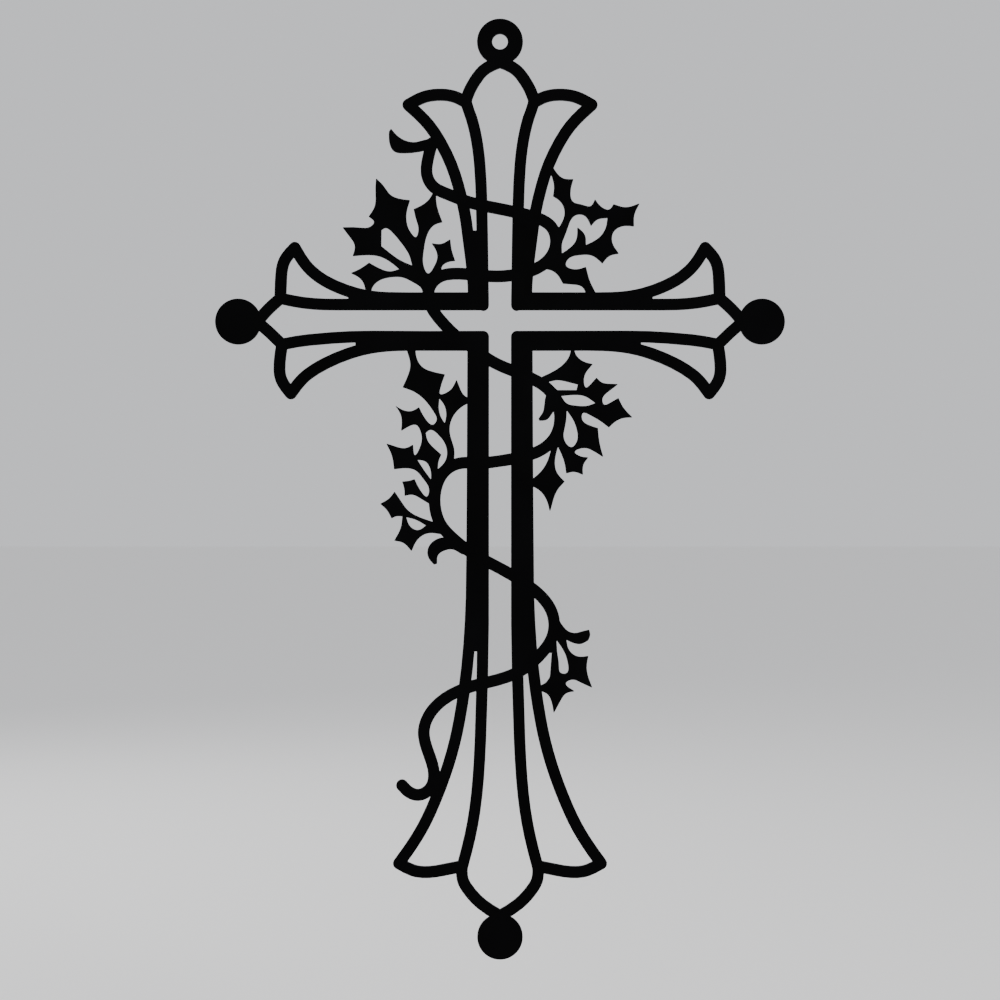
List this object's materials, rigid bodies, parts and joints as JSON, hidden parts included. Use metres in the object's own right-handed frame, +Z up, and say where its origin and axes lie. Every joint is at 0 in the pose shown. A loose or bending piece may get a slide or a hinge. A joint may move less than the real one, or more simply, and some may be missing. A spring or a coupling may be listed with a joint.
{
  "type": "wall cross",
  "caption": "Flat black steel wall cross with flared open arms, hung from a hole in its top ring, with an ivy vine cut in the same plate winding down it.",
  "frame": {"origin": "centre of the hanging hole in the top ring, on the back face", "axes": "+X right seen from the front, +Y out of the back face towards the wall, +Z up along the cross"},
  "size_m": [0.285, 0.002, 0.4706],
  "materials": {
    "black_powder_coat": "matt black powder coat"
  },
  "bodies": {
    "root": {"wall_cross": "black_powder_coat"}
  },
  "joints": []
}
